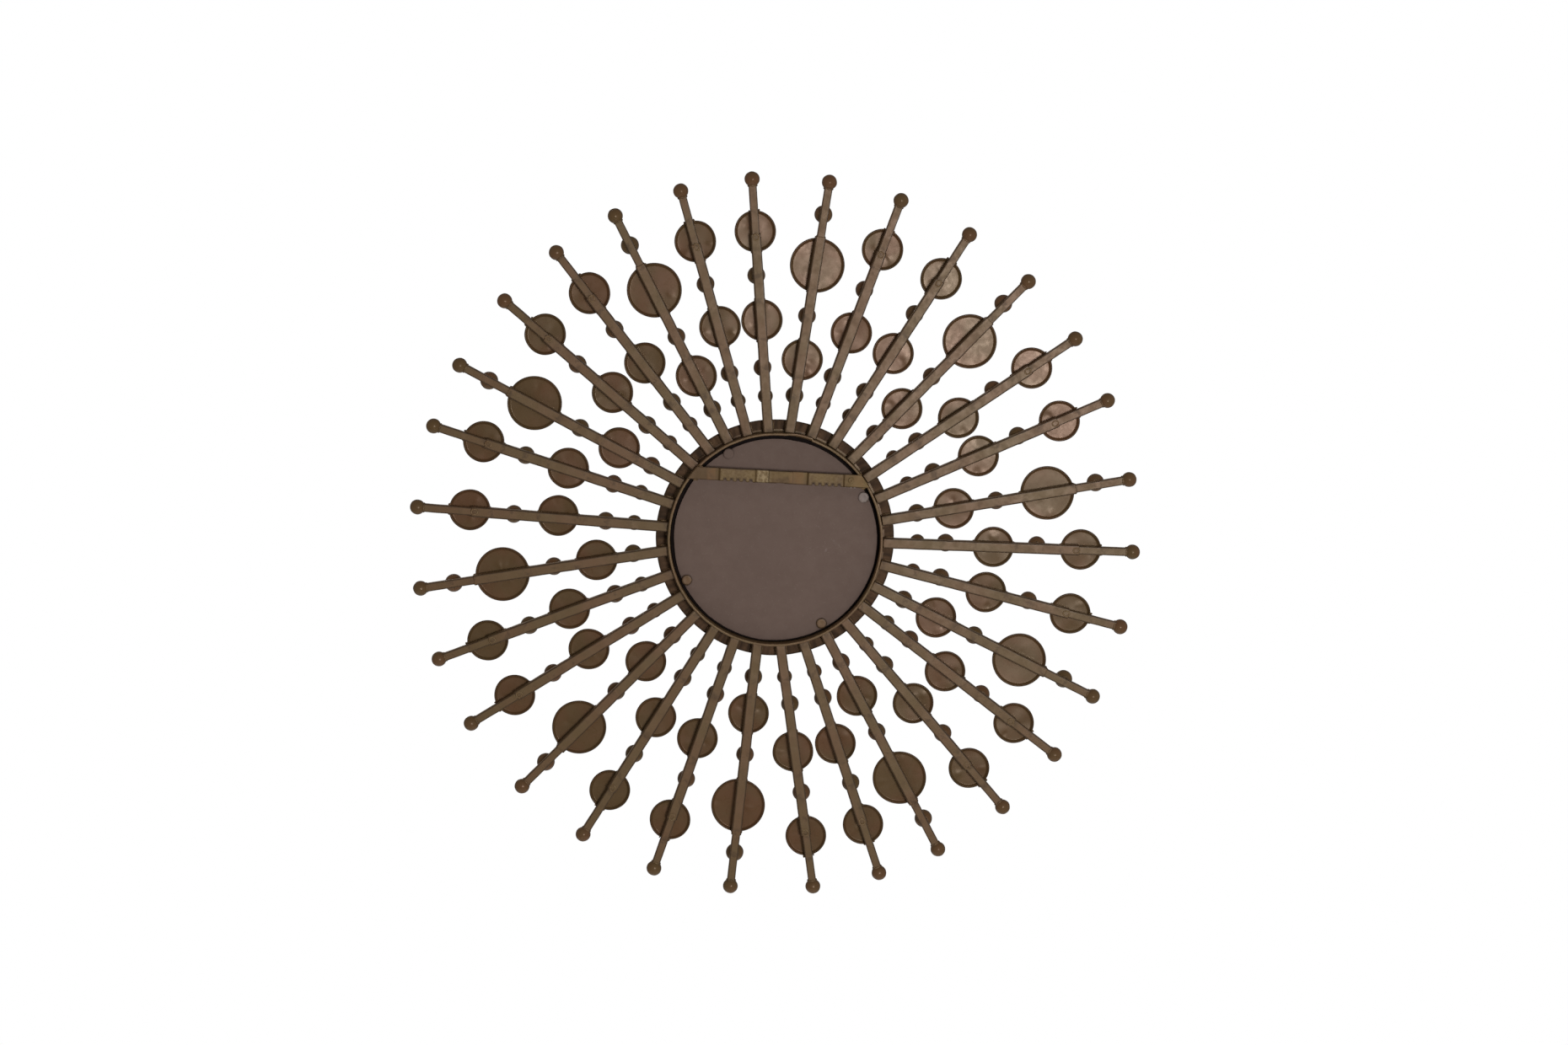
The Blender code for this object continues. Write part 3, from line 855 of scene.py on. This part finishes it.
def strip_stations(start, middle, notches):
    """Where a strip has points along it: by the millimetre, at its notches and through its folds."""
    stations = {start, start + STRIP_INSET, STRIP_END - STRIP_INSET, STRIP_END}
    x = start + MM
    while x < STRIP_END - 0.5 * MM:
        stations.add(round(x, 6))
        x += MM
    for at in notches:
        stations.update(round(at + side * NOTCH_WIDTH / 2, 6) for side in (-1, 0, 1))
    half = RAISED_LENGTH / 2
    for fold in (middle - half - TAB_DEPTH, middle - half, middle + half, middle + half + TAB_DEPTH):
        stations.update(round(fold + step * FOLD_STEP_MM * MM, 6) for step in (-2, -1, 0, 1, 2))
    return sorted(stations)


def strip_shell(name):
    """One hanger strip: tabs and raised middle bent from flat strip, with notches in its lower edge."""
    way = 1 if RAISED_MIDDLE[name] > 0 else -1
    middle = abs(RAISED_MIDDLE[name])
    inner = middle - RAISED_LENGTH / 2
    outer = middle + RAISED_LENGTH / 2
    notch_middle = middle + way * NOTCH_OFF_X
    notches = [notch_middle + (number - (NOTCH_COUNT - 1) / 2) * NOTCH_PITCH
               for number in range(NOTCH_COUNT)]
    stations = strip_stations(abs(INNER_END[name]), middle, notches)
    thick = STRIP_THICK / 2
    points = []
    for x in stations:
        rise = smooth_step(inner - TAB_DEPTH - FOLD_SOFT, inner + FOLD_SOFT, x)
        rise -= smooth_step(outer - FOLD_SOFT, outer + TAB_DEPTH + FOLD_SOFT, x)
        cut = max(0.0, *(1 - abs(x - at) / (NOTCH_WIDTH / 2) for at in notches))
        inset = STRIP_INSET if x in (stations[0], stations[-1]) else 0.0
        top = STRIP_HEIGHT / 2 - inset
        bottom = -STRIP_HEIGHT / 2 + NOTCH_DEPTH * cut + inset
        outline = rounded_outline(thick - inset * 0.5, (top - bottom) / 2, STRIP_ROUND, STRIP_ARC)
        outline = divided(outline, SIDE_LONGEST, SIDE_PARTS)
        for y, z in outline:
            z += (top + bottom) / 2
            place = x
            if x > STRIP_KNEE:
                reach = sqrt(BAND_RADIUS ** 2 - (STRAP_RISE + z) ** 2) + way * HUB_OFF_X
                place = STRIP_KNEE + (x - STRIP_KNEE) * (reach - STRIP_KNEE) / (STRIP_END - STRIP_KNEE)
            depth = -TAB_DEPTH * (1 - rise) - thick
            depth += STRIP_WOBBLE * noise.noise(Vector((x * 90, z * 90, way)))
            points.append(Vector((place, y + depth, z)))
    faces = skin(len(stations), len(outline))
    if way < 0:
        points = [Vector((-p.x, p.y, p.z)) for p in points]
        faces = [face[::-1] for face in faces]
    return points, faces


def blotch(value, stretch):
    """1 inside a stretch and 0 outside it, with soft ends."""
    low, high = stretch
    rise = smooth_step(low - BLOTCH_SOFT, low + BLOTCH_SOFT, value)
    return rise * (1 - smooth_step(high - BLOTCH_SOFT, high + BLOTCH_SOFT, value))


def right_marks(p):
    # The bright tab is bare metal by the weld with a painted sheen on it
    bright = blotch(p.x, RIGHT_BRIGHT) + 0.25 * blotch(p.x, RIGHT_WORN)
    return (0.35 * bright, blotch(p.x, RIGHT_STAIN), bright)


def left_marks(p):
    stain = blotch(p.x, LEFT_STAIN) + 0.5 * blotch(p.x, LEFT_END_STAIN)
    return (0.6 * blotch(p.x, LEFT_HEAT), stain, 0.2 * blotch(p.x, LEFT_WORN))


def bar_marks(p):
    return (0.4, blotch(p.x, BAR_STAIN), 0.35 * blotch(p.x, BAR_WORN))


def edge_shade(half, z):
    """Painted shade along the upper and lower edges of a strip of this half height."""
    return smooth_step(half - EDGE_SHADE_END, half - EDGE_SHADE_FULL, abs(z))


def strip_shade(p):
    """Painted shade in a strip's folds, along its edges and round its notches."""
    folds = 0.0
    edge = edge_shade(0.5 * STRIP_HEIGHT, p.z)
    depth = p.z + 0.5 * STRIP_HEIGHT
    for middle in RAISED_MIDDLE.values():
        for end in (-1, 1):
            fold = middle + end * (RAISED_LENGTH / 2 + TAB_DEPTH / 2)
            folds += 0.8 * exp(-((p.x - fold) / FOLD_SHADE) ** 2)
        place = (p.x - middle - NOTCH_OFF_X) / NOTCH_PITCH
        nearest = max(-(NOTCH_COUNT // 2), min(NOTCH_COUNT // 2, round(place)))
        by_notch = 1 - smooth_step(0.25, 0.36, abs(place - nearest))
        edge = max(edge, by_notch * (1 - smooth_step(0.9 * NOTCH_DEPTH, 1.4 * NOTCH_DEPTH, depth)))
    return min(1.0, folds + edge)


def add_strips(paint):
    for name, way, marks in (("hanger_right", 1, right_marks), ("hanger_left", -1, left_marks)):
        shape = Shape()
        shape.add(strip_shell(name), marks, soot=strip_shade)
        end = way * END_WELD_X
        for share, z, size, seed, heat in END_WELDS:
            middle = (end * share, -TAB_DEPTH - STRIP_THICK + END_WELD_RISE, z)
            shape.add(lump(middle, size, end * seed), heat)
        add_piece(f"{name}_detail", shape, [paint], name)


def add_hanger_bar(paint):
    shape = Shape()
    length, thick, height = BAR_SIZE
    plain = bar(thick / 2, height / 2, BAR_ROUND, -length / 2, length / 2, MM)
    where = Matrix.Translation((BAR_OFF_X, -thick / 2, BAR_OFF_Z))
    # Painted shade along the bar's upper and lower edges
    shape.add(placed(plain, where), bar_marks, soot=lambda p: edge_shade(height / 2, p.z))
    add_piece("hanger_bar_detail", shape, [paint], "hanger_bar")


def add_rivet(paint):
    """A rivet head with a hollow in its top."""
    shape = Shape()
    rivet = lathe([(0.0, -RIVET_SINK), (RIVET_RADIUS, -RIVET_SINK), (RIVET_RADIUS, RIVET_SIDE),
                   (RIVET_RADIUS * 0.85, RIVET_HEIGHT * 0.8), (RIVET_RADIUS * 0.6, RIVET_HEIGHT),
                   (RIVET_RADIUS * 0.35, RIVET_HEIGHT * 0.7), (0.0, RIVET_HEIGHT * 0.5)], RIVET_STEPS)
    where = Matrix.Translation((RIVET_OFF_X, -TAB_DEPTH, RIVET_OFF_Z)) @ Matrix.Rotation(-tau / 4, 4, "X")
    shape.add(placed(rivet, where), RIVET_MARKS)
    add_piece("hanger_rivet_detail", shape, [paint], "hanger_rivet")


def add_spatter(bare):
    """Two specks of bare metal on a strip's lower edge, by the rivet."""
    shape = Shape()
    for number, x in enumerate(SPATTER_XS):
        shape.add(lump((x, -TAB_DEPTH - SPATTER_RISE, SPATTER_Z), SPATTER_SIZE, number + SPATTER_SEED))
    add_piece("hanger_spatter", shape, [bare], None)


# Materials


def add_node(tree, kind, **settings):
    made = tree.nodes.new(kind)
    for key, value in settings.items():
        setattr(made, key, value)
    return made


def plug(tree, value, socket):
    """Sets a socket to a value, or links an output to it."""
    if hasattr(value, "links"):
        tree.links.new(value, socket)
    else:
        socket.default_value = value


def noise_of(tree, coords, scale, detail=3.0, roughness=0.55, distortion=0.0):
    made = add_node(tree, "ShaderNodeTexNoise")
    plug(tree, coords, made.inputs["Vector"])
    made.inputs["Scale"].default_value = scale
    made.inputs["Detail"].default_value = detail
    made.inputs["Roughness"].default_value = roughness
    made.inputs["Distortion"].default_value = distortion
    return made.outputs["Fac"]


def span(tree, value, low, high, to_low=0.0, to_high=1.0):
    made = add_node(tree, "ShaderNodeMapRange", interpolation_type="SMOOTHSTEP")
    for key, part in (("Value", value), ("From Min", low), ("From Max", high), ("To Min", to_low),
                      ("To Max", to_high)):
        plug(tree, part, made.inputs[key])
    return made.outputs["Result"]


def blend(tree, share, first, second):
    """Two colours, or colour outputs, mixed."""
    made = add_node(tree, "ShaderNodeMix", data_type="RGBA")
    plug(tree, share, made.inputs["Factor"])
    a, b = [s for s in made.inputs if s.type == "RGBA"]
    plug(tree, (*first, 1.0) if isinstance(first, tuple) else first, a)
    plug(tree, (*second, 1.0) if isinstance(second, tuple) else second, b)
    return [s for s in made.outputs if s.type == "RGBA"][0]


def math_node(tree, operation, first, second):
    made = add_node(tree, "ShaderNodeMath", operation=operation)
    plug(tree, first, made.inputs[0])
    plug(tree, second, made.inputs[1])
    return made.outputs[0]


def times(tree, first, second):
    return math_node(tree, "MULTIPLY", first, second)


def plus(tree, first, second):
    return math_node(tree, "ADD", first, second)


def crevices(tree, distance, low, high, dark):
    """The share of shade by how enclosed a place is, from dark in crevices to none in the open."""
    shade = add_node(tree, "ShaderNodeAmbientOcclusion", samples=8)
    shade.inputs["Distance"].default_value = distance
    return span(tree, shade.outputs["AO"], low, high, dark, 0.0)


def new_material(name):
    mat = bpy.data.materials.new(name)
    mat.use_nodes = True
    tree = mat.node_tree
    coords = add_node(tree, "ShaderNodeTexCoord").outputs["Object"]
    return mat, tree, tree.nodes["Principled BSDF"], coords


def add_bump(tree, shader, height, strength, distance):
    bump = add_node(tree, "ShaderNodeBump")
    bump.inputs["Strength"].default_value = strength
    bump.inputs["Distance"].default_value = distance
    plug(tree, height, bump.inputs["Height"])
    tree.links.new(bump.outputs["Normal"], shader.inputs["Normal"])


def brown_paint(name, first, second, streaked=False, rough=(0.36, 0.46), bump=0.25, shine=0.18,
                mottled=1.0):
    """Brown paint with a satin sheen: heated, stained and worn as the marks say, with painted sheen where
    worn and painted shade along edges and in crevices.

    On streaked paint the first mark says where the second colour shows.
    """
    mat, tree, shader, coords = new_material(name)
    marks = add_node(tree, "ShaderNodeAttribute", attribute_type="GEOMETRY", attribute_name="marks")
    soot = add_node(tree, "ShaderNodeAttribute", attribute_type="GEOMETRY", attribute_name="soot")
    split = add_node(tree, "ShaderNodeSeparateXYZ")
    tree.links.new(marks.outputs["Vector"], split.inputs[0])
    heat, stain, wear_and_sheen = split.outputs
    broad = noise_of(tree, coords, 16.0, 3.0)
    mottle = noise_of(tree, coords, 110.0, 4.0, 0.6, 0.4)
    fine = noise_of(tree, coords, 700.0, 3.0, 0.6)
    flecks = noise_of(tree, coords, 320.0, 5.0, 0.75)
    if streaked:
        colour = blend(tree, heat, first, second)
        colour = blend(tree, span(tree, flecks, 0.45, 0.7, 0.0, 0.5), colour, DEEP)
    else:
        colour = blend(tree, span(tree, broad, 0.35, 0.65), first, second)
        colour = blend(tree, span(tree, mottle, 0.5, 0.8, 0.0, 0.28 * mottled), colour, SCORCH_AND_CREVICE_SHADE)
        colour = blend(tree, span(tree, mottle, 0.5, 0.2, 0.0, 0.22 * mottled), colour, RUSTY)
        rust = times(tree, heat, span(tree, flecks, 0.40, 0.62))
        colour = blend(tree, times(tree, rust, 0.35), colour, RUSTY)
        scorch = times(tree, heat, span(tree, mottle, 0.46, 0.62))
        colour = blend(tree, times(tree, scorch, 0.5), colour, DEEP)
    stained = times(tree, stain, span(tree, mottle, 0.32, 0.55))
    colour = blend(tree, times(tree, stained, 0.45), colour, ORANGE)
    # Bare wear and painted sheen lighten the paint
    colour = blend(tree, times(tree, wear_and_sheen, span(tree, flecks, 0.38, 0.6)), colour, WORN_AND_SHEEN)
    # Painted shade along edges, round rims and in folds and notches
    edge_shaded = times(tree, soot.outputs["Fac"], span(tree, mottle, 0.25, 0.7, 0.9, 0.6))
    colour = blend(tree, edge_shaded, colour, DEEP)
    # Painted shade in crevices
    colour = blend(tree, crevices(tree, PAINT_CREVICE, 0.2, 0.75, 0.4), colour, SCORCH_AND_CREVICE_SHADE)
    tree.links.new(colour, shader.inputs["Base Color"])
    tree.links.new(span(tree, mottle, 0.3, 0.7, *rough), shader.inputs["Roughness"])
    shader.inputs["Metallic"].default_value = 0.1
    shader.inputs["Specular IOR Level"].default_value = shine
    height = plus(tree, times(tree, mottle, 0.7), times(tree, fine, 0.3))
    add_bump(tree, shader, height, bump, PAINT_GRAIN)
    return mat


def board_paint():
    mat, tree, shader, coords = new_material("painted_hardboard")
    broad = noise_of(tree, coords, 9.0, 4.0)
    mottle = noise_of(tree, coords, 70.0, 5.0, 0.65)
    specks = noise_of(tree, coords, 520.0, 3.0, 0.7)
    scuffs = noise_of(tree, coords, 38.0, 8.0, 0.72, 1.2)
    colour = blend(tree, span(tree, broad, 0.35, 0.65), BOARD_BROWN, BOARD_PALER)
    colour = blend(tree, span(tree, mottle, 0.35, 0.7, 0.0, 0.2), colour, BOARD_MOTTLE)
    colour = blend(tree, span(tree, specks, 0.62, 0.74, 0.0, 0.5), colour, BOARD_SPECK)
    colour = blend(tree, span(tree, scuffs, 0.62, 0.72, 0.0, 0.55), colour, BOARD_SCUFF)
    colour = blend(tree, crevices(tree, BOARD_CREVICE, 0.3, 0.85, 0.7), colour, BOARD_SHADE)
    tree.links.new(colour, shader.inputs["Base Color"])
    tree.links.new(span(tree, mottle, 0.3, 0.7, 0.55, 0.65), shader.inputs["Roughness"])
    shader.inputs["Specular IOR Level"].default_value = 0.15
    add_bump(tree, shader, plus(tree, mottle, specks), 0.15, FINE_GRAIN)
    return mat


def bare_metal():
    mat, tree, shader, coords = new_material("bare_grey_metal")
    mottle = noise_of(tree, coords, 260.0, 4.0, 0.65)
    colour = blend(tree, span(tree, mottle, 0.35, 0.7), METAL_DARK, METAL_PALE)
    tree.links.new(colour, shader.inputs["Base Color"])
    tree.links.new(span(tree, mottle, 0.3, 0.7, 0.4, 0.6), shader.inputs["Roughness"])
    shader.inputs["Metallic"].default_value = 0.1
    shader.inputs["Specular IOR Level"].default_value = 0.3
    add_bump(tree, shader, mottle, 0.3, FINE_GRAIN)
    return mat


def mirror_glass():
    mat, tree, shader, coords = new_material("silvered_mirror")
    haze = noise_of(tree, coords, 30.0, 5.0)
    colour = blend(tree, span(tree, haze, 0.3, 0.7), SILVER_DIM, SILVER_BRIGHT)
    tree.links.new(colour, shader.inputs["Base Color"])
    shader.inputs["Roughness"].default_value = 0.0
    shader.inputs["Metallic"].default_value = 1.0
    return mat


def shaded_mirror_backing():
    mat, tree, shader, coords = new_material("mirror_backing_shade_paint")
    mottle = noise_of(tree, coords, 90.0, 4.0)
    # Near-black, as painted shade in the gap round the board
    colour = blend(tree, span(tree, mottle, 0.3, 0.7), BACKING_SHADE_BROWN, BACKING_SHADE_GREY)
    tree.links.new(colour, shader.inputs["Base Color"])
    tree.links.new(span(tree, mottle, 0.3, 0.7, 0.7, 0.8), shader.inputs["Roughness"])
    shader.inputs["Specular IOR Level"].default_value = 0.03
    return mat


# Camera, lights and floor


def world_direction(v):
    """From the camera fit's own axes to the world: the fit is rolled, and looks from behind."""
    roll = radians(ROLL_DEG)
    x = v.x * cos(roll) - v.z * sin(roll)
    z = v.x * sin(roll) + v.z * cos(roll)
    return Vector((-x, v.y, z))


def add_camera():
    pitch = radians(PITCH_DEG)
    yaw = radians(YAW_DEG)
    right = Vector((cos(yaw), sin(yaw), 0))
    up = Vector((sin(pitch) * sin(yaw), -sin(pitch) * cos(yaw), cos(pitch)))
    back = Vector((-cos(pitch) * sin(yaw), cos(pitch) * cos(yaw), sin(pitch)))
    right, up, back = (world_direction(v) for v in (right, up, back))
    data = bpy.data.cameras.new("photo_camera")
    data.lens = LENS
    data.sensor_width = SENSOR
    data.clip_end = FAR_CLIP
    camera = bpy.data.objects.new("photo_camera", data)
    bpy.context.scene.collection.objects.link(camera)
    place = right * CAMERA_SHIFT_RIGHT + up * CAMERA_SHIFT_UP + back * CAMERA_DISTANCE
    place += Vector((0, -TUBE_DEPTH, -STRAP_RISE))
    turn = Matrix((right, up, back)).transposed()
    camera.matrix_world = Matrix.Translation(place) @ turn.to_4x4()
    bpy.context.scene.camera = camera


def add_light(name, place, width, power, seen_glossy):
    """A round area light aimed at the hub."""
    data = bpy.data.lights.new(name, "AREA")
    data.shape = "DISK"
    data.size = width
    data.energy = power
    lamp = bpy.data.objects.new(name, data)
    bpy.context.scene.collection.objects.link(lamp)
    aim = (Vector((0, 0, -STRAP_RISE)) - Vector(place)).to_track_quat("-Z", "Y")
    lamp.matrix_world = Matrix.Translation(place) @ aim.to_matrix().to_4x4()
    lamp.visible_glossy = seen_glossy


def add_world():
    """White to the camera and dim as light, with a paler room in front for the mirror to show."""
    world = bpy.data.worlds.new("studio")
    bpy.context.scene.world = world
    world.use_nodes = True
    tree = world.node_tree
    backdrop = tree.nodes["Background"]
    backdrop.inputs["Color"].default_value = (1, 1, 1, 1)
    backdrop.inputs["Strength"].default_value = 1.0
    soft = add_node(tree, "ShaderNodeBackground")
    soft.inputs["Color"].default_value = ROOM_TINT
    path = add_node(tree, "ShaderNodeLightPath")
    way = add_node(tree, "ShaderNodeSeparateXYZ")
    tree.links.new(add_node(tree, "ShaderNodeTexCoord").outputs["Generated"], way.inputs[0])
    in_front = span(tree, way.outputs[1], -0.45, -0.85)
    room = times(tree, in_front, span(tree, way.outputs[2], -0.4, 0.6, 0.3, 0.8))
    seen_in_mirror = times(tree, path.outputs["Is Singular Ray"], room)
    tree.links.new(plus(tree, seen_in_mirror, ROOM_LIGHT), soft.inputs["Strength"])
    mix = add_node(tree, "ShaderNodeMixShader")
    tree.links.new(path.outputs["Is Camera Ray"], mix.inputs[0])
    tree.links.new(soft.outputs[0], mix.inputs[1])
    tree.links.new(backdrop.outputs[0], mix.inputs[2])
    tree.links.new(mix.outputs[0], tree.nodes["World Output"].inputs["Surface"])


def add_floor():
    shape = Shape()
    low = FLOOR_Z - FLOOR_THICK
    shape.add(round_plate(FLOOR_RADIUS, low, FLOOR_Z, FLOOR_SOFT, FLOOR_STEPS, FLOOR_RINGS))
    mat, _, shader, _ = new_material("pale_floor")
    shader.inputs["Base Color"].default_value = FLOOR_PALE
    shader.inputs["Roughness"].default_value = 0.8
    floor = make_object("floor", shape, [mat])


def build():
    noise.seed_set(NOISE_SEED)
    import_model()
    scene = bpy.context.scene
    scene.view_settings.view_transform = "Standard"
    add_world()
    add_camera()
    for light in LIGHTS:
        add_light(*light)
    add_floor()
    paint = brown_paint("brown_bronze_paint", OLIVE, RED_BROWN)
    glossy = brown_paint("glossy_disc_paint", DISC_OLIVE, DISC_RED, rough=(0.26, 0.34), bump=0.06,
                         shine=0.14, mottled=0.35)
    # The flange's paint is dark as painted shade in its recess, with paler streaks
    shaded_flange = brown_paint("shaded_flange_paint", FLANGE_DARK, FLANGE_STREAK, streaked=True,
                           rough=(0.5, 0.6), bump=0.3, shine=0.05)
    olive = brown_paint("hanger_olive_paint", STRAP_OLIVE, STRAP_BROWN, rough=(0.4, 0.5), shine=0.1)
    bare = bare_metal()
    add_ring(paint, shaded_flange)
    add_glass(mirror_glass(), shaded_mirror_backing())
    board = board_paint()
    add_board(board)
    add_buttons(paint, bare, board)
    add_strips(olive)
    add_hanger_bar(olive)
    add_rivet(olive)
    add_spatter(bare)
    for number in range(1, RAY_COUNT + 1):
        add_ray(number, paint, glossy)


build()
